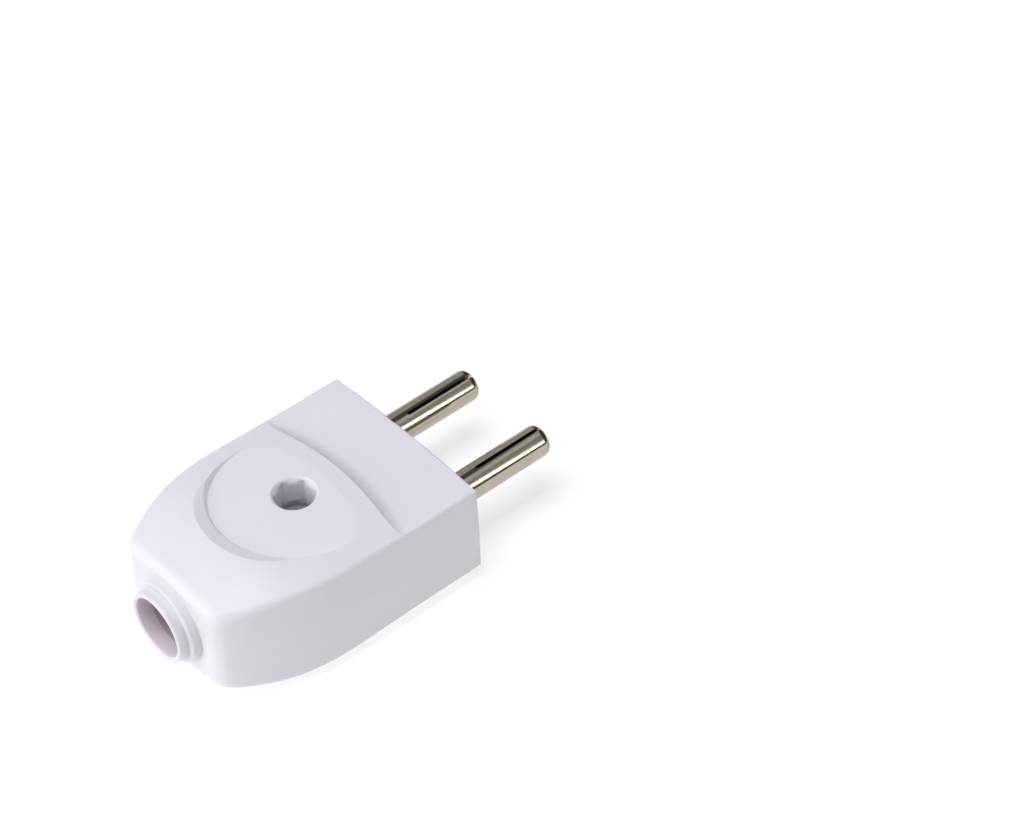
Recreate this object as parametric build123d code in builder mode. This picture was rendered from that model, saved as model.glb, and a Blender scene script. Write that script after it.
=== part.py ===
"""Rewirable two-pin mains plug: two moulded half shells, split round pins, clamp, bush and screws.

Millimetres. The origin is in the middle of the pin face, on the parting plane, half way between
the pins. The pins point along +Y, the cord leaves along -Y, and +Z is up. A "setback" is a distance
behind the pin face, so a setback of 20 is the place y = -20.
"""
import os
from math import asin, cos, degrees, pi, radians, sin, sqrt, tan

from build123d import *

os.makedirs("parts", exist_ok=True)

# Pins
pin_spacing = 16.66
pin_diameter = 5.2
pin_reach = 19.0
pin_tip_radius = 1.3
slit_width = 0.55
slit_length = 13.2
slit_turn_left = -18.0
slit_turn_right = -4.0
shank_diameter = 5.6
shank_setback = 0.05
flange_diameter = 7.6
flange_thickness = 1.5
barrel_diameter = 6.6
barrel_length = 8.8
wire_hole_diameter = 3.2
wire_hole_depth = 7.0
terminal_setback = 10.4
terminal_flat_height = 2.7

# Outer form of the body
body_width = 33.4
body_length = 44.6
draft_angle = 1.4
front_bow_radius = 300.0
side_straight = 24.4
side_curve_radius = 36.0
rear_corner_radius = 3.7
rear_edge_radius = 1.3
front_side_height = 7.88
front_crown_height = 9.2
peak_setback = 33.5
peak_side_height = 8.4
peak_crown_height = 10.5
rear_side_height = 7.3
rear_crown_height = 8.5
crown_knee = 0.55
front_knee_drop = 0.30
peak_knee_drop = 0.14
rear_knee_drop = 0.22
front_shoulder_radius = 0.45
rear_shoulder_radius = 1.9
front_edge_radius = 0.3
strip_edge_radius = 0.4

# Front thumb catch: a flat strip that ends in a hollow rise
strip_height = 7.94
catch_setback = 10.4
catch_plan_radius = 45.5
catch_hollow_radius = 3.5

# Rear thumb catch: a shallow dish with a crescent wall
dish_setback = 20.5
dish_radius = 13.9
dish_wall_height = 9.88
dish_tilt = 2.0
dish_toe_rise = 0.36
dish_toe_angle = 50.0
dish_ramp_angle = 17.0
dish_floor_height = 9.61
dish_floor_long_radius = 400.0
dish_floor_cross_radius = 130.0

# Walls and seats inside the shells
wall = 2.3
front_wall = 3.0
rear_wall = 2.4
ceiling_height = 5.9
crown_ceiling_height = 7.3
crown_inset = 2.0
crown_front_setback = 16.0
crown_rear_setback = 37.5
seat_clearance = 0.1
pin_rib_thickness = 2.0
barrel_rib_setback = 13.2
barrel_rib_thickness = 1.5
lip_width = 1.0
lip_height = 0.9
lip_front_setback = 8.0
lip_rear_setback = 30.0

# Case screw and nut
screw_setback = 21.3
post_diameter = 9.4
screw_diameter = 3.0
screw_hole_diameter = 3.4
screw_length = 10.0
screw_head_diameter = 5.5
screw_head_height = 2.0
screw_seat_depth = 4.5
mouth_diameter = 6.2
mouth_lip_radius = 0.8
mouth_lip_rise = 0.03
nut_flats = 5.5
nut_thickness = 2.4
nut_seat_height = 2.1
nut_clearance = 0.15
thread_clearance = 0.05
slot_width = 0.7
slot_depth = 0.8

# Terminal screws
terminal_screw_diameter = 3.0
terminal_screw_length = 3.4
terminal_head_diameter = 5.0
terminal_head_height = 1.8

# Cord clamp
clamp_inset = 9.6
clamp_screw_spacing = 14.4
clamp_boss_diameter = 5.4
clamp_boss_height = 1.2
clamp_bar_width = 5.6
clamp_bar_thickness = 2.2
clamp_arch_radius = 5.5
clamp_arch_depth = 0.9
clamp_screw_diameter = 2.9
clamp_screw_length = 8.0
clamp_head_diameter = 5.0
clamp_head_height = 1.7

# Cord bush
bush_bore = 9.8
bush_neck_diameter = 11.4
bush_flange_diameter = 14.0
bush_flange_thickness = 1.5
bush_shoulder_diameter = 13.6
bush_shoulder_length = 1.5
bush_nose_diameter = 11.6
bush_nose_length = 1.6
bush_edge_radius = 0.4

# Places that follow from the sizes above
pin_x = pin_spacing / 2
clamp_x = clamp_screw_spacing / 2
clamp_setback = body_length - clamp_inset
half_front = body_width / 2
corner_setback = body_length - rear_corner_radius
corner_turn = asin((corner_setback - side_straight) / (side_curve_radius - rear_corner_radius))
corner_x = half_front - side_curve_radius + (side_curve_radius - rear_corner_radius) * cos(corner_turn)
corner_start = corner_setback + rear_corner_radius * sin(corner_turn)
flange_front = front_wall + seat_clearance
flange_back = flange_front + flange_thickness
rib_front = flange_back + seat_clearance
rib_back = rib_front + pin_rib_thickness
barrel_front = rib_back + seat_clearance
barrel_back = barrel_front + barrel_length
rear_wall_setback = body_length - rear_wall


def half_width(setback):
    """Half the width at the parting plane, as far back as the rear corner: straight, then curved."""
    run = max(setback - side_straight, 0)
    return half_front - side_curve_radius + sqrt(side_curve_radius ** 2 - run ** 2)


def top_height(setback, front, peak, rear):
    """A height of the top: level at the pin face, a ramp up to a peak, then an ever steeper fall."""
    if setback < catch_setback:
        return front
    if setback < peak_setback:
        rise = (setback - catch_setback) / (peak_setback - catch_setback)
        return front + (peak - front) * rise * (1.2 - 0.2 * rise ** 5)
    fall = (setback - peak_setback) / (body_length - peak_setback)
    return peak - (peak - rear) * fall ** 1.6


# Cross sections of the upper half, as setback and half width; the last ones round the rear corner
front_start = -2.0
section_count = 10
section_places = []
for index in range(section_count):
    setback = front_start + (corner_start - front_start) * index / section_count
    section_places.append((setback, half_width(setback)))
for share in (0.0, 0.25, 0.5, 0.7, 0.85, 1.0):
    turn = corner_turn + share * (pi / 2 - corner_turn)
    setback = corner_setback + rear_corner_radius * sin(turn)
    section_places.append((setback, corner_x + rear_corner_radius * cos(turn)))


def inset_plan(inset, front, rear):
    """Plan of the body drawn in by an inset, between two setbacks, for the hollows and the lip."""
    radius = side_curve_radius - inset
    turn = degrees(asin((rear - side_straight) / radius))
    with BuildSketch() as shape:
        with BuildLine():
            side_line = Line((half_front - inset, -front), (half_front - inset, -side_straight))
            side_curve = JernArc(side_line @ 1, (0, -1), radius, -turn)
            Line(side_curve @ 1, (0, -rear))
            Line((0, -front), side_line @ 0)
            mirror(about=Plane.YZ)
        make_face()
    return shape.sketch


hollow = inset_plan(wall, front_wall, rear_wall_setback)
crown_hollow = inset_plan(wall + crown_inset, crown_front_setback, crown_rear_setback)
lip_outer = inset_plan(wall - lip_width, lip_front_setback, lip_rear_setback)
lip_inner = inset_plan(wall, 0, body_length - rear_wall)
groove_outer = inset_plan(
    wall - lip_width - seat_clearance, lip_front_setback - seat_clearance, lip_rear_setback + seat_clearance
)
groove_inner = inset_plan(wall + seat_clearance, 0, body_length - rear_wall)

# Cutter for the dish: a crescent wall turned about a tilted axis, above a floor crowned both ways
dish_back = (0, -cos(radians(dish_tilt)), -sin(radians(dish_tilt)))
dish_centre = (0, -dish_setback, dish_wall_height)
dish_plane = Plane(dish_centre, x_dir=dish_back, z_dir=(-1, 0, 0))
dish_sink = 2.0
toe_run = (dish_sink + dish_toe_rise) / tan(radians(dish_toe_angle))
ramp_end = 2 * dish_radius
ramp_rise = dish_toe_rise + (ramp_end - dish_radius) * tan(radians(dish_ramp_angle))
with BuildPart() as dish:
    with BuildSketch(dish_plane):
        with BuildLine():
            Polyline(
                (0, -dish_sink), (dish_radius - toe_run, -dish_sink), (dish_radius, dish_toe_rise),
                (ramp_end, ramp_rise), (0, ramp_rise), close=True,
            )
        make_face()
    revolve(axis=Axis(dish_plane.origin, dish_plane.y_dir))
    # The floor is highest at the screw; it is turned from its far side, to keep its seam out of the way
    floor_axis_height = dish_floor_height - dish_floor_long_radius
    with BuildSketch(Plane.XZ.offset(screw_setback)):
        with Locations((0, floor_axis_height - dish_floor_long_radius)):
            Rectangle(2 * ramp_end, 2 * ramp_rise)
        with Locations((0, floor_axis_height - dish_floor_long_radius + dish_floor_cross_radius)):
            Circle(dish_floor_cross_radius, mode=Mode.SUBTRACT)
    floor_axis = Axis((0, -screw_setback, floor_axis_height), (1, 0, 0))
    revolve(axis=floor_axis, mode=Mode.INTERSECT)

# Outer form of one half, made once for both shells
with BuildPart() as outer_form:
    for setback, width in section_places:
        depth = max(setback - (body_length - rear_edge_radius), 0)
        drop = rear_edge_radius - sqrt(max(rear_edge_radius ** 2 - depth ** 2, 0))
        side_height = top_height(setback, front_side_height, peak_side_height, rear_side_height) - drop
        crown_height = top_height(setback, front_crown_height, peak_crown_height, rear_crown_height) - drop
        knee_drop = top_height(setback, front_knee_drop, peak_knee_drop, rear_knee_drop)
        knee_height = crown_height - knee_drop * (crown_height - side_height)
        top_width = width - side_height * tan(radians(draft_angle))
        knee_width = crown_knee * top_width
        growth = (max(setback, 0) / body_length) ** 2
        shoulder = front_shoulder_radius + (rear_shoulder_radius - front_shoulder_radius) * growth
        with BuildSketch(Plane((0, -setback, 0), x_dir=(1, 0, 0), z_dir=(0, -1, 0))) as section:
            with BuildLine():
                Polyline((top_width, side_height), (width, 0), (-width, 0), (-top_width, side_height))
                crown = ThreePointArc(
                    (-knee_width, knee_height), (0, crown_height), (knee_width, knee_height)
                )
                TangentArc(crown @ 1, (top_width, side_height), tangent=crown % 1)
                TangentArc(crown @ 0, (-top_width, side_height), tangent=-(crown % 0))
            make_face()
            shoulders = section.vertices().group_by(Axis.X)
            fillet(shoulders[1] + shoulders[-2], radius=shoulder)
    loft()
    # Bowed pin face, its side edges softened
    with Locations((0, -front_bow_radius, 0)):
        Cylinder(front_bow_radius, 4 * peak_crown_height, mode=Mode.INTERSECT)
    front_edges = outer_form.faces().sort_by(Axis.Y)[-1].edges()
    fillet(front_edges.sort_by(Axis.Z)[1:], radius=front_edge_radius)
    # Flat strip and hollow rise of the front thumb catch, turned about a far upright axis
    with BuildSketch(Plane.YZ):
        with BuildLine():
            Line((-front_start, strip_height), (-catch_setback, strip_height))
            TangentArc(
                (-catch_setback, strip_height),
                (-catch_setback - catch_hollow_radius, strip_height + catch_hollow_radius),
                tangent=(-1, 0),
            )
            Polyline(
                (-catch_setback - catch_hollow_radius, strip_height + catch_hollow_radius),
                (-front_start, strip_height + catch_hollow_radius),
                (-front_start, strip_height),
            )
        make_face()
    revolve(axis=Axis((0, -catch_setback - catch_plan_radius, 0), (0, 0, 1)), mode=Mode.SUBTRACT)
    # Softened front edge of the strip, turned about the axis of the bow
    with BuildSketch(Plane.YZ):
        with BuildLine():
            edge = TangentArc(
                (-strip_edge_radius, strip_height), (0, strip_height - strip_edge_radius), tangent=(1, 0)
            )
            Polyline(edge @ 1, (-front_start, strip_height - strip_edge_radius))
            Polyline(
                (-front_start, strip_height - strip_edge_radius), (-front_start, peak_crown_height),
                (-strip_edge_radius, peak_crown_height), edge @ 0,
            )
        make_face()
    revolve(axis=Axis((0, -front_bow_radius, 0), (0, 0, 1)), mode=Mode.SUBTRACT)
    # Dish of the rear thumb catch
    add(dish.part, mode=Mode.SUBTRACT)
    # Mouth over the nut or the screw head, with a lip that rolls out into the floor of the dish
    mouth_radius = mouth_diameter / 2
    lip_edge = mouth_radius + mouth_lip_radius
    crown_at_screw = top_height(screw_setback, front_crown_height, peak_crown_height, rear_crown_height)
    lip_top = min(dish_floor_height, crown_at_screw) + mouth_lip_rise
    with BuildSketch(Plane.YZ):
        with BuildLine():
            lip = TangentArc(
                (mouth_radius - screw_setback, lip_top - mouth_lip_radius),
                (lip_edge - screw_setback, lip_top), tangent=(0, 1),
            )
            Polyline(
                lip @ 1, (lip_edge - screw_setback, 2 * peak_crown_height),
                (-screw_setback, 2 * peak_crown_height), (-screw_setback, screw_seat_depth),
                (mouth_radius - screw_setback, screw_seat_depth), lip @ 0,
            )
        make_face()
    revolve(axis=Axis((0, -screw_setback, 0), (0, 0, 1)), mode=Mode.SUBTRACT)

# Upper shell, with the hex socket for the nut
with BuildPart() as upper_shell:
    add(outer_form.part)
    extrude(hollow, amount=ceiling_height, mode=Mode.SUBTRACT)
    extrude(crown_hollow, amount=crown_ceiling_height, mode=Mode.SUBTRACT)
    # Ribs that hold the pins
    with BuildSketch():
        add(hollow)
        with Locations((0, -rib_front - pin_rib_thickness / 2)):
            Rectangle(body_width, pin_rib_thickness, mode=Mode.INTERSECT)
    extrude(amount=ceiling_height)
    with BuildSketch():
        add(hollow)
        with Locations((0, -barrel_rib_setback - barrel_rib_thickness / 2)):
            Rectangle(body_width, barrel_rib_thickness, mode=Mode.INTERSECT)
    extrude(amount=ceiling_height)
    with BuildSketch(Plane.XZ):
        with Locations((-pin_x, 0), (pin_x, 0)):
            Circle(shank_diameter / 2 + seat_clearance)
    extrude(amount=front_wall, both=True, mode=Mode.SUBTRACT)
    with BuildSketch(Plane.XZ.offset(rib_front)):
        with Locations((-pin_x, 0), (pin_x, 0)):
            Circle(pin_diameter / 2 + seat_clearance)
    extrude(amount=pin_rib_thickness, mode=Mode.SUBTRACT)
    with BuildSketch(Plane.XZ.offset(barrel_front)):
        with Locations((-pin_x, 0), (pin_x, 0)):
            Circle(barrel_diameter / 2 + seat_clearance)
    extrude(amount=barrel_length, mode=Mode.SUBTRACT)
    # Seat of the cord bush in the rear wall
    with BuildSketch(Plane.XZ.offset(rear_wall_setback)):
        Circle(bush_neck_diameter / 2 + seat_clearance)
    extrude(amount=2 * rear_wall, mode=Mode.SUBTRACT)
    with BuildSketch(Plane.XZ.offset(rear_wall_setback)):
        Circle(bush_flange_diameter / 2 + seat_clearance)
    extrude(amount=-bush_flange_thickness - 2 * seat_clearance, mode=Mode.SUBTRACT)
    # Groove for the lip of the lower shell
    with BuildSketch():
        add(groove_outer)
        add(groove_inner, mode=Mode.SUBTRACT)
    extrude(amount=lip_height + seat_clearance, mode=Mode.SUBTRACT)
    # Post for the nut
    with BuildSketch():
        with Locations((0, -screw_setback)):
            Circle(post_diameter / 2)
    extrude(amount=crown_ceiling_height)
    with BuildSketch(Plane.XY.offset(nut_seat_height)):
        with Locations((0, -screw_setback)):
            Circle(mouth_diameter / 2)
    extrude(amount=crown_ceiling_height - nut_seat_height, mode=Mode.SUBTRACT)
    with BuildSketch(Plane.XY.offset(nut_seat_height)):
        with Locations((0, -screw_setback)):
            RegularPolygon(nut_flats / 2 + nut_clearance, 6, major_radius=False)
    extrude(amount=2 * peak_crown_height, mode=Mode.SUBTRACT)
    with BuildSketch():
        with Locations((0, -screw_setback)):
            Circle(screw_hole_diameter / 2)
    extrude(amount=nut_seat_height, mode=Mode.SUBTRACT)

upper_shell.part.label = "upper_shell"
export_step(upper_shell.part, "parts/upper_shell.step")

# Lower shell, with the screw recess, the lip and the clamp bosses
with BuildPart() as lower_shell:
    add(outer_form.part)
    mirror(about=Plane.XY, mode=Mode.REPLACE)
    extrude(hollow, amount=-ceiling_height, mode=Mode.SUBTRACT)
    extrude(crown_hollow, amount=-crown_ceiling_height, mode=Mode.SUBTRACT)
    # Ribs that hold the pins
    with BuildSketch():
        add(hollow)
        with Locations((0, -rib_front - pin_rib_thickness / 2)):
            Rectangle(body_width, pin_rib_thickness, mode=Mode.INTERSECT)
    extrude(amount=-ceiling_height)
    with BuildSketch():
        add(hollow)
        with Locations((0, -barrel_rib_setback - barrel_rib_thickness / 2)):
            Rectangle(body_width, barrel_rib_thickness, mode=Mode.INTERSECT)
    extrude(amount=-ceiling_height)
    with BuildSketch(Plane.XZ):
        with Locations((-pin_x, 0), (pin_x, 0)):
            Circle(shank_diameter / 2 + seat_clearance)
    extrude(amount=front_wall, both=True, mode=Mode.SUBTRACT)
    with BuildSketch(Plane.XZ.offset(rib_front)):
        with Locations((-pin_x, 0), (pin_x, 0)):
            Circle(pin_diameter / 2 + seat_clearance)
    extrude(amount=pin_rib_thickness, mode=Mode.SUBTRACT)
    with BuildSketch(Plane.XZ.offset(barrel_front)):
        with Locations((-pin_x, 0), (pin_x, 0)):
            Circle(barrel_diameter / 2 + seat_clearance)
    extrude(amount=barrel_length, mode=Mode.SUBTRACT)
    # Seat of the cord bush in the rear wall
    with BuildSketch(Plane.XZ.offset(rear_wall_setback)):
        Circle(bush_neck_diameter / 2 + seat_clearance)
    extrude(amount=2 * rear_wall, mode=Mode.SUBTRACT)
    with BuildSketch(Plane.XZ.offset(rear_wall_setback)):
        Circle(bush_flange_diameter / 2 + seat_clearance)
    extrude(amount=-bush_flange_thickness - 2 * seat_clearance, mode=Mode.SUBTRACT)
    # Post with the recess for the screw head
    with BuildSketch():
        with Locations((0, -screw_setback)):
            Circle(post_diameter / 2)
    extrude(amount=-crown_ceiling_height)
    with BuildSketch(Plane.XY.offset(-screw_seat_depth)):
        with Locations((0, -screw_setback)):
            Circle(mouth_diameter / 2)
    extrude(amount=screw_seat_depth - crown_ceiling_height, mode=Mode.SUBTRACT)
    with BuildSketch():
        with Locations((0, -screw_setback)):
            Circle(screw_hole_diameter / 2)
    extrude(amount=-screw_seat_depth, mode=Mode.SUBTRACT)
    # Lip along the two sides
    with BuildSketch():
        add(lip_outer)
        add(lip_inner, mode=Mode.SUBTRACT)
    extrude(amount=lip_height)
    # Bosses for the clamp screws
    with BuildSketch(Plane.XY.offset(-ceiling_height)):
        with Locations((-clamp_x, -clamp_setback), (clamp_x, -clamp_setback)):
            Circle(clamp_boss_diameter / 2)
    extrude(amount=ceiling_height + clamp_boss_height)
    with BuildSketch(Plane.XY.offset(-ceiling_height)):
        with Locations((-clamp_x, -clamp_setback), (clamp_x, -clamp_setback)):
            Circle(clamp_boss_diameter / 2)
    extrude(amount=ceiling_height - crown_ceiling_height)
    with BuildSketch(Plane.XY.offset(clamp_boss_height)):
        with Locations((-clamp_x, -clamp_setback), (clamp_x, -clamp_setback)):
            Circle(clamp_screw_diameter / 2 + thread_clearance)
    extrude(amount=-clamp_screw_length, mode=Mode.SUBTRACT)

lower_shell.part.label = "lower_shell"
export_step(lower_shell.part, "parts/lower_shell.step")

# Pin as turned and drilled, before its slit is sawn
with BuildPart() as pin_blank:
    pin_radius = pin_diameter / 2
    shank_radius = shank_diameter / 2
    barrel_radius = barrel_diameter / 2
    flange_radius = flange_diameter / 2
    with BuildSketch():
        with BuildLine():
            Line((0, pin_reach), (pin_radius - pin_tip_radius, pin_reach))
            TangentArc(
                (pin_radius - pin_tip_radius, pin_reach),
                (pin_radius, pin_reach - pin_tip_radius),
                tangent=(1, 0),
            )
            Polyline(
                (pin_radius, pin_reach - pin_tip_radius),
                (pin_radius, -shank_setback), (shank_radius, -shank_setback),
                (shank_radius, -flange_front), (flange_radius, -flange_front),
                (flange_radius, -flange_back), (pin_radius, -flange_back),
                (pin_radius, -barrel_front), (barrel_radius, -barrel_front),
                (barrel_radius, -barrel_back), (0, -barrel_back), (0, pin_reach),
            )
        make_face()
    revolve(axis=Axis.Y)
    # Wire hole, flat and screw hole of the terminal
    with BuildSketch(Plane.XZ.offset(barrel_back)):
        Circle(wire_hole_diameter / 2)
    extrude(amount=-wire_hole_depth, mode=Mode.SUBTRACT)
    with BuildSketch(Plane.XY.offset(terminal_flat_height)):
        with Locations((0, -terminal_setback)):
            Circle(terminal_head_diameter / 2 + seat_clearance)
    extrude(amount=barrel_radius, mode=Mode.SUBTRACT)
    with BuildSketch(Plane.XY.offset(terminal_flat_height)):
        with Locations((0, -terminal_setback)):
            Circle(terminal_screw_diameter / 2 + thread_clearance)
    extrude(amount=-terminal_screw_length - seat_clearance, mode=Mode.SUBTRACT)

# Left pin
with BuildPart() as pin_left:
    with Locations((-pin_x, 0, 0)):
        add(pin_blank.part)
    with BuildSketch(Plane.XZ.offset(-pin_reach)):
        with Locations((-pin_x, 0)):
            Rectangle(slit_width, 2 * pin_diameter, rotation=slit_turn_left)
    extrude(amount=slit_length, mode=Mode.SUBTRACT)

pin_left.part.label = "pin_left"
export_step(pin_left.part, "parts/pin_left.step")

# Right pin
with BuildPart() as pin_right:
    with Locations((pin_x, 0, 0)):
        add(pin_blank.part)
    with BuildSketch(Plane.XZ.offset(-pin_reach)):
        with Locations((pin_x, 0)):
            Rectangle(slit_width, 2 * pin_diameter, rotation=slit_turn_right)
    extrude(amount=slit_length, mode=Mode.SUBTRACT)

pin_right.part.label = "pin_right"
export_step(pin_right.part, "parts/pin_right.step")

# Terminal screw, slotted cheese head
with BuildPart() as terminal_screw:
    with BuildSketch(Plane.XY.offset(terminal_flat_height)):
        with Locations((0, -terminal_setback)):
            Circle(terminal_screw_diameter / 2)
    extrude(amount=-terminal_screw_length)
    with BuildSketch(Plane.XY.offset(terminal_flat_height)):
        with Locations((0, -terminal_setback)):
            Circle(terminal_head_diameter / 2)
    extrude(amount=terminal_head_height)
    with BuildSketch(Plane.XY.offset(terminal_flat_height + terminal_head_height)):
        with Locations((0, -terminal_setback)):
            Rectangle(2 * terminal_head_diameter, slot_width)
    extrude(amount=-slot_depth, mode=Mode.SUBTRACT)

# Left terminal screw
with BuildPart() as terminal_screw_left:
    with Locations((-pin_x, 0, 0)):
        add(terminal_screw.part)

terminal_screw_left.part.label = "terminal_screw_left"
export_step(terminal_screw_left.part, "parts/terminal_screw_left.step")

# Right terminal screw
with BuildPart() as terminal_screw_right:
    with Locations((pin_x, 0, 0)):
        add(terminal_screw.part)

terminal_screw_right.part.label = "terminal_screw_right"
export_step(terminal_screw_right.part, "parts/terminal_screw_right.step")

# Case screw, put in from below
with BuildPart() as case_screw:
    with BuildSketch(Plane.XY.offset(-screw_seat_depth)):
        with Locations((0, -screw_setback)):
            Circle(screw_diameter / 2)
    extrude(amount=screw_length)
    with BuildSketch(Plane.XY.offset(-screw_seat_depth)):
        with Locations((0, -screw_setback)):
            Circle(screw_head_diameter / 2)
    extrude(amount=-screw_head_height)
    with BuildSketch(Plane.XY.offset(-screw_seat_depth - screw_head_height)):
        with Locations((0, -screw_setback)):
            Rectangle(slot_width, 2 * screw_head_diameter)
    extrude(amount=slot_depth, mode=Mode.SUBTRACT)

case_screw.part.label = "case_screw"
export_step(case_screw.part, "parts/case_screw.step")

# Case nut in the hex socket
with BuildPart() as case_nut:
    with BuildSketch(Plane.XY.offset(nut_seat_height)):
        with Locations((0, -screw_setback)):
            RegularPolygon(nut_flats / 2, 6, major_radius=False)
            Circle(screw_diameter / 2 + thread_clearance, mode=Mode.SUBTRACT)
    extrude(amount=nut_thickness)

case_nut.part.label = "case_nut"
export_step(case_nut.part, "parts/case_nut.step")

# Cord clamp bar, arched over the cord
with BuildPart() as cord_clamp:
    with BuildSketch(Plane.XY.offset(clamp_boss_height)):
        with Locations((0, -clamp_setback)):
            SlotCenterToCenter(clamp_screw_spacing, clamp_bar_width)
        with Locations((-clamp_x, -clamp_setback), (clamp_x, -clamp_setback)):
            Circle(clamp_screw_diameter / 2 + seat_clearance, mode=Mode.SUBTRACT)
    extrude(amount=clamp_bar_thickness)
    with BuildSketch(Plane.XZ.offset(clamp_setback)):
        with Locations((0, clamp_boss_height + clamp_arch_depth - clamp_arch_radius)):
            Circle(clamp_arch_radius)
    extrude(amount=clamp_bar_width, both=True, mode=Mode.SUBTRACT)

cord_clamp.part.label = "cord_clamp"
export_step(cord_clamp.part, "parts/cord_clamp.step")

# Clamp screw, slotted cheese head
clamp_seat_height = clamp_boss_height + clamp_bar_thickness
with BuildPart() as clamp_screw:
    with BuildSketch(Plane.XY.offset(clamp_seat_height)):
        with Locations((0, -clamp_setback)):
            Circle(clamp_screw_diameter / 2)
    extrude(amount=-clamp_screw_length)
    with BuildSketch(Plane.XY.offset(clamp_seat_height)):
        with Locations((0, -clamp_setback)):
            Circle(clamp_head_diameter / 2)
    extrude(amount=clamp_head_height)
    with BuildSketch(Plane.XY.offset(clamp_seat_height + clamp_head_height)):
        with Locations((0, -clamp_setback)):
            Rectangle(2 * clamp_head_diameter, slot_width)
    extrude(amount=-slot_depth, mode=Mode.SUBTRACT)

# Left clamp screw
with BuildPart() as clamp_screw_left:
    with Locations((-clamp_x, 0, 0)):
        add(clamp_screw.part)

clamp_screw_left.part.label = "clamp_screw_left"
export_step(clamp_screw_left.part, "parts/clamp_screw_left.step")

# Right clamp screw
with BuildPart() as clamp_screw_right:
    with Locations((clamp_x, 0, 0)):
        add(clamp_screw.part)

clamp_screw_right.part.label = "clamp_screw_right"
export_step(clamp_screw_right.part, "parts/clamp_screw_right.step")

# Cord bush, held by its flange behind the rear wall
with BuildPart() as cord_bush:
    bore_radius = bush_bore / 2
    neck_radius = bush_neck_diameter / 2
    bush_flange_radius = bush_flange_diameter / 2
    shoulder_radius = bush_shoulder_diameter / 2
    nose_radius = bush_nose_diameter / 2
    flange_end = -rear_wall_setback + seat_clearance
    flange_start = flange_end + bush_flange_thickness
    shoulder_end = -body_length - bush_shoulder_length
    nose_end = shoulder_end - bush_nose_length
    with BuildSketch() as bush_profile:
        with BuildLine():
            Polyline(
                (bore_radius, flange_start), (bush_flange_radius, flange_start),
                (bush_flange_radius, flange_end), (neck_radius, flange_end),
                (neck_radius, -body_length), (shoulder_radius, -body_length),
                (shoulder_radius, shoulder_end), (nose_radius, shoulder_end),
                (nose_radius, nose_end), (bore_radius, nose_end), close=True,
            )
        make_face()
        soft = bush_profile.vertices().group_by(Axis.Y)
        fillet(soft[0] + soft[1].sort_by(Axis.X)[-1:], radius=bush_edge_radius)
    revolve(axis=Axis.Y)

cord_bush.part.label = "cord_bush"
export_step(cord_bush.part, "parts/cord_bush.step")
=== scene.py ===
import math

import bmesh
import bpy
from mathutils import Matrix, Vector


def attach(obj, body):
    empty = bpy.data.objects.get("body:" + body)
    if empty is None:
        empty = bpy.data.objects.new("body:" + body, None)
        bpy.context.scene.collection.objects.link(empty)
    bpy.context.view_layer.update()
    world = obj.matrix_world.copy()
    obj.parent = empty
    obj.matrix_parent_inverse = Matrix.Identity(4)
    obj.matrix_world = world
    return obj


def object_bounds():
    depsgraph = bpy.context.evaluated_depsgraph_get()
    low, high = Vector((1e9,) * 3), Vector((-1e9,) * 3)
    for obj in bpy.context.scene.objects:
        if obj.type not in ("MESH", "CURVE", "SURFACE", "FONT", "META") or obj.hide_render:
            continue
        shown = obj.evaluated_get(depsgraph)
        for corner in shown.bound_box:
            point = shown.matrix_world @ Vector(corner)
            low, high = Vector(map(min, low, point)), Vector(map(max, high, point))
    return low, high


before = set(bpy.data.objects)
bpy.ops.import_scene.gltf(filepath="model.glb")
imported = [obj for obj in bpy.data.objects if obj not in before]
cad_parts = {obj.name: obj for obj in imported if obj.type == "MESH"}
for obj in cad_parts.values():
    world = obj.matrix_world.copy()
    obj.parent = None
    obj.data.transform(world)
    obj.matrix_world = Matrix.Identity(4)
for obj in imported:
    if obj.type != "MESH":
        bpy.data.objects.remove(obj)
cad_low, cad_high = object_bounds()

# Lower shell
# Half of the body, a drafted cup of white plastic with ribs for the pins and a lip along the joint.
# Injection moulded, and held to the other half by one screw through its post.
MM = 0.001
SHARE, FIRST, SECOND, MIXED = 0, 6, 7, 2  # places of the colour sockets on Blender's Mix node


def linear(colour):
    """Turns an sRGB hex colour into the linear values that Blender's sockets hold."""
    channels = [int(colour[place:place + 2], 16) / 255 for place in (1, 3, 5)]
    return [c / 12.92 if c <= 0.04045 else ((c + 0.055) / 1.055) ** 2.4 for c in channels] + [1.0]


def add_node(material, kind, settings=(), links=(), **properties):
    """Adds a node: plain values on its sockets, links from other sockets, properties of its own."""
    node = material.node_tree.nodes.new(kind)
    for name, value in properties.items():
        setattr(node, name, value)
    for socket, value in dict(settings).items():
        node.inputs[socket].default_value = value
    for socket, source in dict(links).items():
        material.node_tree.links.new(source, node.inputs[socket])
    return node


def new_material(name):
    """An empty node material with its output node."""
    material = bpy.data.materials.new(name)
    material.use_nodes = True
    material.node_tree.nodes.clear()
    return material, add_node(material, "ShaderNodeOutputMaterial")


def dress(node, material):
    """Gives a CAD node's object one material."""
    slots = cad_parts[node].data.materials
    slots.clear()
    slots.append(material)


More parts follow.
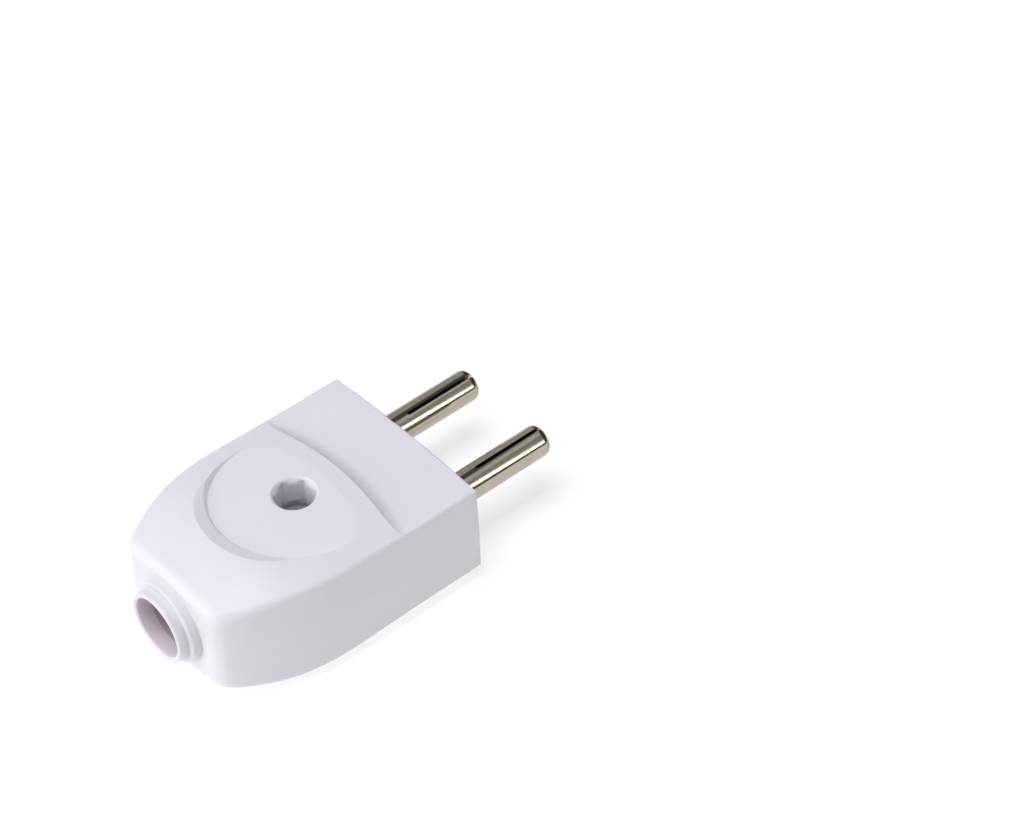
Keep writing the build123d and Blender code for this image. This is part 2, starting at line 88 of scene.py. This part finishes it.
# White ABS from a spark-eroded mould: an even satin white with a cool cast, a grain that only
# breaks up the gloss, faint flow clouds in the colour, and edges polished a little by handling.
SHELL_WHITE = "#E6E5E8"
SHELL_CLOUD = "#E1E0E3"
SHELL_CLOUD_SIZE = 9 * MM
SHELL_GRAIN = 0.16 * MM
SHELL_GRAIN_DEPTH = 0.01 * MM
FACE_ROUGHNESS, EDGE_ROUGHNESS = 0.40, 0.30
FACE_POINTINESS, EDGE_POINTINESS = 0.5, 0.62
GRAIN_OFFSET = -0.03
ABS_IOR = 1.54
moulded_abs, output = new_material("white_abs_moulded")
place = add_node(moulded_abs, "ShaderNodeTexCoord")
clouds = add_node(
    moulded_abs, "ShaderNodeTexNoise",
    {"Scale": 1 / SHELL_CLOUD_SIZE, "Detail": 3.0, "Roughness": 0.5},
    {"Vector": place.outputs["Object"]},
)
tint = add_node(
    moulded_abs, "ShaderNodeMix", {FIRST: linear(SHELL_WHITE), SECOND: linear(SHELL_CLOUD)},
    {SHARE: clouds.outputs["Fac"]}, data_type="RGBA",
)
grain = add_node(
    moulded_abs, "ShaderNodeTexNoise", {"Scale": 1 / SHELL_GRAIN, "Detail": 2.0},
    {"Vector": place.outputs["Object"]},
)
grain_bump = add_node(
    moulded_abs, "ShaderNodeBump", {"Strength": 0.10, "Distance": SHELL_GRAIN_DEPTH},
    {"Height": grain.outputs["Fac"]},
)
edges = add_node(moulded_abs, "ShaderNodeNewGeometry")
gloss = add_node(
    moulded_abs, "ShaderNodeMapRange",
    {"From Min": FACE_POINTINESS, "From Max": EDGE_POINTINESS,
     "To Min": FACE_ROUGHNESS, "To Max": EDGE_ROUGHNESS},
    {"Value": edges.outputs["Pointiness"]},
)
gloss_break = add_node(
    moulded_abs, "ShaderNodeMath", {2: GRAIN_OFFSET},
    {0: grain.outputs["Fac"], 1: gloss.outputs["Result"]}, operation="MULTIPLY_ADD",
)
gloss_sum = add_node(
    moulded_abs, "ShaderNodeMath",
    links={0: gloss.outputs["Result"], 1: gloss_break.outputs[0]}, operation="ADD",
)
skin = add_node(
    moulded_abs, "ShaderNodeBsdfPrincipled", {"IOR": ABS_IOR},
    {"Base Color": tint.outputs[MIXED], "Roughness": gloss_sum.outputs[0],
     "Normal": grain_bump.outputs["Normal"]},
)
moulded_abs.node_tree.links.new(skin.outputs["BSDF"], output.inputs["Surface"])
dress("lower_shell", moulded_abs)

# Pins
# Two round contact pins turned from brass bar, sawn along so that they spring, and nickel plated.
# A flange on each is trapped between the front wall and a rib; the barrel behind takes the wire.

# Bright nickel over turned brass: a warm grey mirror, slightly drawn out round the pin by turning
# rings, with brass showing where the plating has rubbed off the rounded tip, and painted shade in
# the saw cut.
NICKEL = "#BFB7A8"
NICKEL_DULL = "#A69E8E"
BRASS = "#C8AE74"
# Painted shade: the near-black colour given to the saw cut's walls
SLIT_PAINTED_SHADE = "#1E1914"
PIN_X = 8.33 * MM
PIN_RADIUS = 2.6 * MM
TIP_START = 17.9 * MM
TIP_END = 18.8 * MM
TURNING_PITCH = 0.60 * MM  # coarser than the true 0.05 mm feed, so that it shows
TURNING_DEPTH = 0.01 * MM
WAVE_RADIANS = 20  # Blender's wave texture turns this far in one unit of scale
SMEAR_SIZE = 2.5 * MM
BRIGHT_ROUGHNESS, SMEARED_ROUGHNESS = 0.08, 0.16
WEAR_AT_START, WEAR_AT_END = -0.25, 0.45
WEAR_PATCHES = 0.35
SHADED_WITHIN, ROUND_FROM = PIN_RADIUS - 0.12 * MM, PIN_RADIUS - 0.04 * MM
SHADED_UP_TO, UNSHADED_FROM = TIP_START + 0.2 * MM, TIP_START + 0.45 * MM
plated_brass, output = new_material("nickel_plated_turned_brass")
place = add_node(plated_brass, "ShaderNodeTexCoord")
along = add_node(
    plated_brass, "ShaderNodeSeparateXYZ", links={"Vector": place.outputs["Object"]},
)
rings = add_node(
    plated_brass, "ShaderNodeTexWave",
    {"Scale": math.tau / (WAVE_RADIANS * TURNING_PITCH), "Distortion": 1.2, "Detail": 2.0,
     "Detail Scale": 0.6},
    {"Vector": place.outputs["Object"]}, wave_type="BANDS", bands_direction="Y",
)
smears = add_node(
    plated_brass, "ShaderNodeTexNoise",
    {"Scale": 1 / SMEAR_SIZE, "Detail": 4.0, "Roughness": 0.6},
    {"Vector": place.outputs["Object"]},
)
plate_tint = add_node(
    plated_brass, "ShaderNodeMix", {FIRST: linear(NICKEL), SECOND: linear(NICKEL_DULL)},
    {SHARE: smears.outputs["Fac"]}, data_type="RGBA",
)
tip_place = add_node(
    plated_brass, "ShaderNodeMapRange",
    {"From Min": TIP_START, "From Max": TIP_END, "To Min": WEAR_AT_START, "To Max": WEAR_AT_END},
    {"Value": along.outputs["Y"]},
)
worn = add_node(
    plated_brass, "ShaderNodeMath", {1: WEAR_PATCHES},
    {0: smears.outputs["Fac"], 2: tip_place.outputs["Result"]},
    operation="MULTIPLY_ADD", use_clamp=True,
)
metal_tint = add_node(
    plated_brass, "ShaderNodeMix", {SECOND: linear(BRASS)},
    {SHARE: worn.outputs[0], FIRST: plate_tint.outputs[MIXED]}, data_type="RGBA",
)
# The saw cut's walls lie inside the pin's round, and are painted near black there as painted shade
# in the slit
across = add_node(
    plated_brass, "ShaderNodeMath", links={0: along.outputs["X"]}, operation="ABSOLUTE",
)
from_axis = add_node(
    plated_brass, "ShaderNodeMath", {1: PIN_X}, {0: across.outputs[0]}, operation="SUBTRACT",
)
spoke = add_node(
    plated_brass, "ShaderNodeCombineXYZ",
    links={"X": from_axis.outputs[0], "Z": along.outputs["Z"]},
)
radius = add_node(
    plated_brass, "ShaderNodeVectorMath", links={0: spoke.outputs[0]}, operation="LENGTH",
)
inside = add_node(
    plated_brass, "ShaderNodeMapRange",
    {"From Min": SHADED_WITHIN, "From Max": ROUND_FROM, "To Min": 1.0, "To Max": 0.0},
    {"Value": radius.outputs["Value"]},
)
short_of_tip = add_node(
    plated_brass, "ShaderNodeMapRange",
    {"From Min": SHADED_UP_TO, "From Max": UNSHADED_FROM, "To Min": 1.0, "To Max": 0.0},
    {"Value": along.outputs["Y"]},
)
# Painted shade mask: the saw cut's walls, up to just short of the tip
slit_painted_shade = add_node(
    plated_brass, "ShaderNodeMath",
    links={0: inside.outputs["Result"], 1: short_of_tip.outputs["Result"]}, operation="MULTIPLY",
)
pin_tint = add_node(
    plated_brass, "ShaderNodeMix", {SECOND: linear(SLIT_PAINTED_SHADE)},
    {SHARE: slit_painted_shade.outputs[0], FIRST: metal_tint.outputs[MIXED]}, data_type="RGBA",
)
ring_bump = add_node(
    plated_brass, "ShaderNodeBump", {"Strength": 0.03, "Distance": TURNING_DEPTH},
    {"Height": rings.outputs["Fac"]},
)
polish = add_node(
    plated_brass, "ShaderNodeMapRange",
    {"To Min": BRIGHT_ROUGHNESS, "To Max": SMEARED_ROUGHNESS}, {"Value": smears.outputs["Fac"]},
)
plate = add_node(
    plated_brass, "ShaderNodeBsdfPrincipled", {"Metallic": 1.0},
    {"Base Color": pin_tint.outputs[MIXED], "Roughness": polish.outputs["Result"],
     "Normal": ring_bump.outputs["Normal"]},
)
plated_brass.node_tree.links.new(plate.outputs["BSDF"], output.inputs["Surface"])
for pin in ("pin_left", "pin_right"):
    dress(pin, plated_brass)

# Terminal screws
# A slotted cheese-head screw in each barrel, turned down on the wire from above.
# Steel, cold headed and zinc plated; its thread is left plain, because the body hides it.

# Bright zinc on steel: a cool grey, softer than nickel, with cloudy patches from the plating bath.
ZINC = "#B9BEC4"
ZINC_CLOUD = "#A3A7AB"
ZINC_CLOUD_SIZE = 1.2 * MM
ZINC_CLOUD_DEPTH = 0.01 * MM
CLEAR_ROUGHNESS, CLOUDED_ROUGHNESS = 0.26, 0.46
zinc_steel, output = new_material("zinc_plated_steel")
place = add_node(zinc_steel, "ShaderNodeTexCoord")
clouds = add_node(
    zinc_steel, "ShaderNodeTexNoise",
    {"Scale": 1 / ZINC_CLOUD_SIZE, "Detail": 4.0, "Roughness": 0.6},
    {"Vector": place.outputs["Object"]},
)
zinc_tint = add_node(
    zinc_steel, "ShaderNodeMix", {FIRST: linear(ZINC), SECOND: linear(ZINC_CLOUD)},
    {SHARE: clouds.outputs["Fac"]}, data_type="RGBA",
)
zinc_gloss = add_node(
    zinc_steel, "ShaderNodeMapRange",
    {"To Min": CLEAR_ROUGHNESS, "To Max": CLOUDED_ROUGHNESS}, {"Value": clouds.outputs["Fac"]},
)
zinc_bump = add_node(
    zinc_steel, "ShaderNodeBump", {"Strength": 0.1, "Distance": ZINC_CLOUD_DEPTH},
    {"Height": clouds.outputs["Fac"]},
)
zinc = add_node(
    zinc_steel, "ShaderNodeBsdfPrincipled", {"Metallic": 1.0},
    {"Base Color": zinc_tint.outputs[MIXED], "Roughness": zinc_gloss.outputs["Result"],
     "Normal": zinc_bump.outputs["Normal"]},
)
zinc_steel.node_tree.links.new(zinc.outputs["BSDF"], output.inputs["Surface"])
for screw in ("terminal_screw_left", "terminal_screw_right"):
    dress(screw, zinc_steel)

# Cord clamp
# A bar across the cord, pulled down on it by a screw at each end so that no pull reaches the wires.
# Stamped from red vulcanised fibre sheet; its screws are zinc plated steel.

# Vulcanised fibre: dull brick red, felted like hard card, with paler hairs all over.
FIBRE = "#7E3A2E"
FIBRE_HAIR = "#95564A"
FELT_SIZE = 0.35 * MM
FELT_DEPTH = 0.03 * MM
FIBRE_ROUGHNESS = 0.75
FIBRE_IOR = 1.5
pressed_fibre, output = new_material("red_vulcanised_fibre")
place = add_node(pressed_fibre, "ShaderNodeTexCoord")
felt = add_node(
    pressed_fibre, "ShaderNodeTexNoise",
    {"Scale": 1 / FELT_SIZE, "Detail": 5.0, "Roughness": 0.7},
    {"Vector": place.outputs["Object"]},
)
fibre_tint = add_node(
    pressed_fibre, "ShaderNodeMix", {FIRST: linear(FIBRE), SECOND: linear(FIBRE_HAIR)},
    {SHARE: felt.outputs["Fac"]}, data_type="RGBA",
)
fibre_bump = add_node(
    pressed_fibre, "ShaderNodeBump", {"Strength": 0.3, "Distance": FELT_DEPTH},
    {"Height": felt.outputs["Fac"]},
)
fibre = add_node(
    pressed_fibre, "ShaderNodeBsdfPrincipled", {"IOR": FIBRE_IOR, "Roughness": FIBRE_ROUGHNESS},
    {"Base Color": fibre_tint.outputs[MIXED], "Normal": fibre_bump.outputs["Normal"]},
)
pressed_fibre.node_tree.links.new(fibre.outputs["BSDF"], output.inputs["Surface"])
dress("cord_clamp", pressed_fibre)
for screw in ("clamp_screw_left", "clamp_screw_right"):
    dress(screw, zinc_steel)

# Cord bush
# A stepped ring that lines the cord hole. Its inner flange is trapped behind the rear wall.
# Moulded in white plastic, a softer kind than the shells so that it doesn't chafe the cord.

# White polypropylene from a smooth mould: waxy, a shade greyer and rosier than the shells, with
# a bore that the cord's rubber has stained rosy, and painted shade that darkens the bore behind the
# collar.
BUSH_WHITE = "#E3E1E4"
BUSH_CLOUD = "#DDDADE"
COLLAR_ROSE = "#EAE0E6"
# Rosy stain and painted shade together: the bore behind the collar is darker as painted shade
DEEP_BORE_ROSE_AND_SHADE = "#CBB7C0"
BUSH_CLOUD_SIZE = 5 * MM
WAXY_ROUGHNESS, DULLED_ROUGHNESS = 0.32, 0.44
POLYPROPYLENE_IOR = 1.49
BORE_RADIUS = 4.9 * MM
STAIN_AND_SHADE_WITHIN, WHITE_FROM = BORE_RADIUS + 0.05 * MM, BORE_RADIUS + 0.3 * MM
COLLAR_BACK = -45.0 * MM
STAIN_AND_SHADE_FADE = 0.1 * MM
moulded_bush, output = new_material("white_polypropylene_moulded")
place = add_node(moulded_bush, "ShaderNodeTexCoord")
clouds = add_node(
    moulded_bush, "ShaderNodeTexNoise", {"Scale": 1 / BUSH_CLOUD_SIZE, "Detail": 3.0},
    {"Vector": place.outputs["Object"]},
)
bush_tint = add_node(
    moulded_bush, "ShaderNodeMix", {FIRST: linear(BUSH_WHITE), SECOND: linear(BUSH_CLOUD)},
    {SHARE: clouds.outputs["Fac"]}, data_type="RGBA",
)
bore_place = add_node(
    moulded_bush, "ShaderNodeSeparateXYZ", links={"Vector": place.outputs["Object"]},
)
spoke = add_node(
    moulded_bush, "ShaderNodeCombineXYZ",
    links={"X": bore_place.outputs["X"], "Z": bore_place.outputs["Z"]},
)
radius = add_node(
    moulded_bush, "ShaderNodeVectorMath", links={0: spoke.outputs[0]}, operation="LENGTH",
)
in_bore = add_node(
    moulded_bush, "ShaderNodeMapRange",
    {"From Min": STAIN_AND_SHADE_WITHIN, "From Max": WHITE_FROM, "To Min": 1.0, "To Max": 0.0},
    {"Value": radius.outputs["Value"]},
)
# Painted shade: the bore's colour turns darker past the collar's back
painted_shade_depth = add_node(
    moulded_bush, "ShaderNodeMapRange",
    {"From Min": COLLAR_BACK - STAIN_AND_SHADE_FADE, "From Max": COLLAR_BACK + STAIN_AND_SHADE_FADE},
    {"Value": bore_place.outputs["Y"]},
)
bore_stain_and_shade = add_node(
    moulded_bush, "ShaderNodeMix", {FIRST: linear(COLLAR_ROSE), SECOND: linear(DEEP_BORE_ROSE_AND_SHADE)},
    {SHARE: painted_shade_depth.outputs["Result"]}, data_type="RGBA",
)
bush_colour = add_node(
    moulded_bush, "ShaderNodeMix",
    links={SHARE: in_bore.outputs["Result"], FIRST: bush_tint.outputs[MIXED],
           SECOND: bore_stain_and_shade.outputs[MIXED]},
    data_type="RGBA",
)
bush_gloss = add_node(
    moulded_bush, "ShaderNodeMapRange",
    {"To Min": WAXY_ROUGHNESS, "To Max": DULLED_ROUGHNESS}, {"Value": clouds.outputs["Fac"]},
)
bush_skin = add_node(
    moulded_bush, "ShaderNodeBsdfPrincipled", {"IOR": POLYPROPYLENE_IOR},
    {"Base Color": bush_colour.outputs[MIXED], "Roughness": bush_gloss.outputs["Result"]},
)
moulded_bush.node_tree.links.new(bush_skin.outputs["BSDF"], output.inputs["Surface"])
dress("cord_bush", moulded_bush)

# Upper shell
# The other half of the body, with the thumb catches on top and a hex socket that keeps the nut.
# Moulded in the same white plastic as the lower shell.
dress("upper_shell", moulded_abs)

# Mouth of the nut's socket
# The lead that the mould leaves over the nut's seat: a soft funnel that turns from round to hex.
# It is part of the upper shell, in the same plastic.
SCREW_Y = -21.3 * MM
DISH_TOP = 9.61 * MM
DISH_LONG_RADIUS = 400 * MM
DISH_CROSS_RADIUS = 130 * MM
MOUTH_STEPS = 96
SIXTH = math.tau / 6
# Radius and drop below the dish floor in millimetres, and share of hex: down the funnel, and then
# back up inside the wall
MOUTH_PROFILE = (
    (3.75, 0.10, 0.0), (3.60, 0.045, 0.0), (3.50, 0.085, 0.0), (3.40, 0.15, 0.0),
    (3.30, 0.23, 0.0), (3.21, 0.33, 0.05), (3.12, 0.45, 0.2), (3.03, 0.58, 0.45),
    (2.95, 0.74, 0.7), (2.89, 0.92, 0.9), (2.845, 1.12, 1.0), (2.83, 1.4, 1.0),
    (2.82, 4.3, 1.0), (2.82, 4.4, 1.0), (2.87, 4.4, 1.0), (2.88, 1.6, 1.0),
    (3.4, 1.2, 0.0), (3.75, 0.5, 0.0),
)
mouth_mesh = bpy.data.meshes.new("nut_socket_mouth")
shape = bmesh.new()
loops = []
for step in range(MOUTH_STEPS):
    angle = math.tau * step / MOUTH_STEPS
    corner = 1 / math.cos(angle % SIXTH - SIXTH / 2)
    loop = []
    for radius_mm, drop_mm, hex_share in MOUTH_PROFILE:
        reach = radius_mm * MM * (1 - hex_share + hex_share * corner)
        x, y = reach * math.cos(angle), reach * math.sin(angle)
        dish_z = DISH_TOP - x * x / (2 * DISH_CROSS_RADIUS) - y * y / (2 * DISH_LONG_RADIUS)
        loop.append(shape.verts.new((x, SCREW_Y + y, dish_z - drop_mm * MM)))
    loops.append(loop)
for step in range(MOUTH_STEPS):
    here, there = loops[step], loops[(step + 1) % MOUTH_STEPS]
    for row in range(len(MOUTH_PROFILE)):
        after = (row + 1) % len(MOUTH_PROFILE)
        shape.faces.new((here[row], there[row], there[after], here[after])).smooth = True
bmesh.ops.recalc_face_normals(shape, faces=shape.faces)
shape.to_mesh(mouth_mesh)
shape.free()
mouth = bpy.data.objects.new("nut_socket_mouth", mouth_mesh)
mouth_mesh.materials.append(moulded_abs)
bpy.context.scene.collection.objects.link(mouth)
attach(mouth, "root")

# Case nut and case screw
# The nut drops into the hex socket from above and the screw comes up from below, closing the body.
# Zinc plated steel.
for fixing in ("case_nut", "case_screw"):
    dress(fixing, zinc_steel)

# Floor
# A product table's top: a sheet of opal acrylic, cast, and lit from below so that shadows stay
# faint. It is big enough to fill every view.
FLOOR_SIZE = 1.6
floor_mesh = bpy.data.meshes.new("floor")
grid = bmesh.new()
bmesh.ops.create_grid(grid, x_segments=1, y_segments=1, size=FLOOR_SIZE / 2)
grid.to_mesh(floor_mesh)
grid.free()
floor = bpy.data.objects.new("floor", floor_mesh)
floor.location.z = cad_low.z
bpy.context.scene.collection.objects.link(floor)

# Opal acrylic: a milky white with a satin face, which glows evenly and hardly mirrors.
FLOOR_OPAL = "#BCBCBD"
FLOOR_LAMPS = "#FFFFFF"
FLOOR_GLOW = 0.62
FLOOR_SHINE = 0.2
HAZE_SIZE = 0.8 * MM
SATIN_ROUGHNESS, HAZY_ROUGHNESS = 0.75, 0.9
opal_acrylic, output = new_material("opal_acrylic_cast")
place = add_node(opal_acrylic, "ShaderNodeTexCoord")
haze = add_node(
    opal_acrylic, "ShaderNodeTexNoise", {"Scale": 1 / HAZE_SIZE, "Detail": 3.0},
    {"Vector": place.outputs["Object"]},
)
satin = add_node(
    opal_acrylic, "ShaderNodeMapRange",
    {"To Min": SATIN_ROUGHNESS, "To Max": HAZY_ROUGHNESS}, {"Value": haze.outputs["Fac"]},
)
sheet = add_node(
    opal_acrylic, "ShaderNodeBsdfPrincipled",
    {"Base Color": linear(FLOOR_OPAL), "Specular IOR Level": FLOOR_SHINE,
     "Emission Color": linear(FLOOR_LAMPS), "Emission Strength": FLOOR_GLOW},
    {"Roughness": satin.outputs["Result"]},
)
opal_acrylic.node_tree.links.new(sheet.outputs["BSDF"], output.inputs["Surface"])
floor_mesh.materials.append(opal_acrylic)

# Light
# A big soft box low behind the cord end, one overhead and a weak one over the right side, as in
# a small product studio. A strip draws the bright line along the pins, and two cards fill their
# dark parts.
LAMP_WHITE = "#FFFFFF"
OVERHEAD_COOL = "#F6F5FF"
ROOM_COOL = "#F6F6FF"
ROOM_STRENGTH = 0.095
LAMP_DISTANCE = 0.9
STRIP_DISTANCE = 0.7
LAMP_AIM = Vector((0, -0.014, 0))


def soft_box(name, direction, width, height, watts, distance=LAMP_DISTANCE, colour=LAMP_WHITE):
    """A rectangular lamp that faces the plug from a direction."""
    lamp = bpy.data.lights.new(name, "AREA")
    lamp.shape = "RECTANGLE"
    lamp.size, lamp.size_y = width, height
    lamp.energy = watts
    lamp.color = linear(colour)[:3]
    holder = bpy.data.objects.new(name, lamp)
    away = Vector(direction).normalized()
    holder.location = LAMP_AIM + away * distance
    holder.rotation_mode = "QUATERNION"
    holder.rotation_quaternion = away.to_track_quat("Z", "Y")
    bpy.context.scene.collection.objects.link(holder)


soft_box("key", (-0.25, -0.906, 0.342), width=0.7, height=0.6, watts=4.15)
soft_box(
    "overhead", (0.0, -0.22, 0.975), width=0.6, height=0.6, watts=6.4, colour=OVERHEAD_COOL,
)
soft_box("side", (0.74, 0.3, 0.6), width=0.6, height=0.6, watts=0.35)
soft_box(
    "strip", (0.79, 0.45, 0.42), width=0.03, height=0.34, watts=0.2, distance=STRIP_DISTANCE,
)
soft_box("left card", (-0.77, 0.45, 0.45), width=0.2, height=1.1, watts=0.29)
soft_box("front card", (0.2, 0.45, 0.87), width=1.0, height=0.18, watts=0.36)
world = bpy.data.worlds.new("studio")
bpy.context.scene.world = world
world.use_nodes = True
room = world.node_tree.nodes["Background"]
room.inputs["Color"].default_value = linear(ROOM_COOL)
room.inputs["Strength"].default_value = ROOM_STRENGTH
bpy.context.scene.view_settings.view_transform = "Standard"

# Camera
# Stands behind the cord end to the right, looking down, as far off as the picture's perspective
# shows, and a little rolled.
AZIMUTH, ELEVATION, ROLL = (math.radians(angle) for angle in (51.48, 43.804, -3.136))
DISTANCE = 0.49138
AIM = Vector((0, -0.01355, 0))
AIM_RIGHT, AIM_UP = -0.025498, -0.015635  # where the aim point lies from the picture's middle
SENSOR_WIDTH_MM = 36
FOCAL_LENGTH_MM = 116.014
NEAR_CLIP = 0.01
back = Vector((
    math.sin(AZIMUTH) * math.cos(ELEVATION),
    -math.cos(AZIMUTH) * math.cos(ELEVATION),
    math.sin(ELEVATION),
))
level = Vector((math.cos(AZIMUTH), math.sin(AZIMUTH), 0))
upright = back.cross(level)
right = math.cos(ROLL) * level + math.sin(ROLL) * upright
up = math.cos(ROLL) * upright - math.sin(ROLL) * level
lens = bpy.data.cameras.new("camera")
lens.sensor_width = SENSOR_WIDTH_MM
lens.lens = FOCAL_LENGTH_MM
lens.clip_start = NEAR_CLIP
camera = bpy.data.objects.new("camera", lens)
spot = AIM + back * DISTANCE - right * AIM_RIGHT - up * AIM_UP
camera.matrix_world = Matrix.Translation(spot) @ Matrix((right, up, back)).transposed().to_4x4()
bpy.context.scene.collection.objects.link(camera)
bpy.context.scene.camera = camera
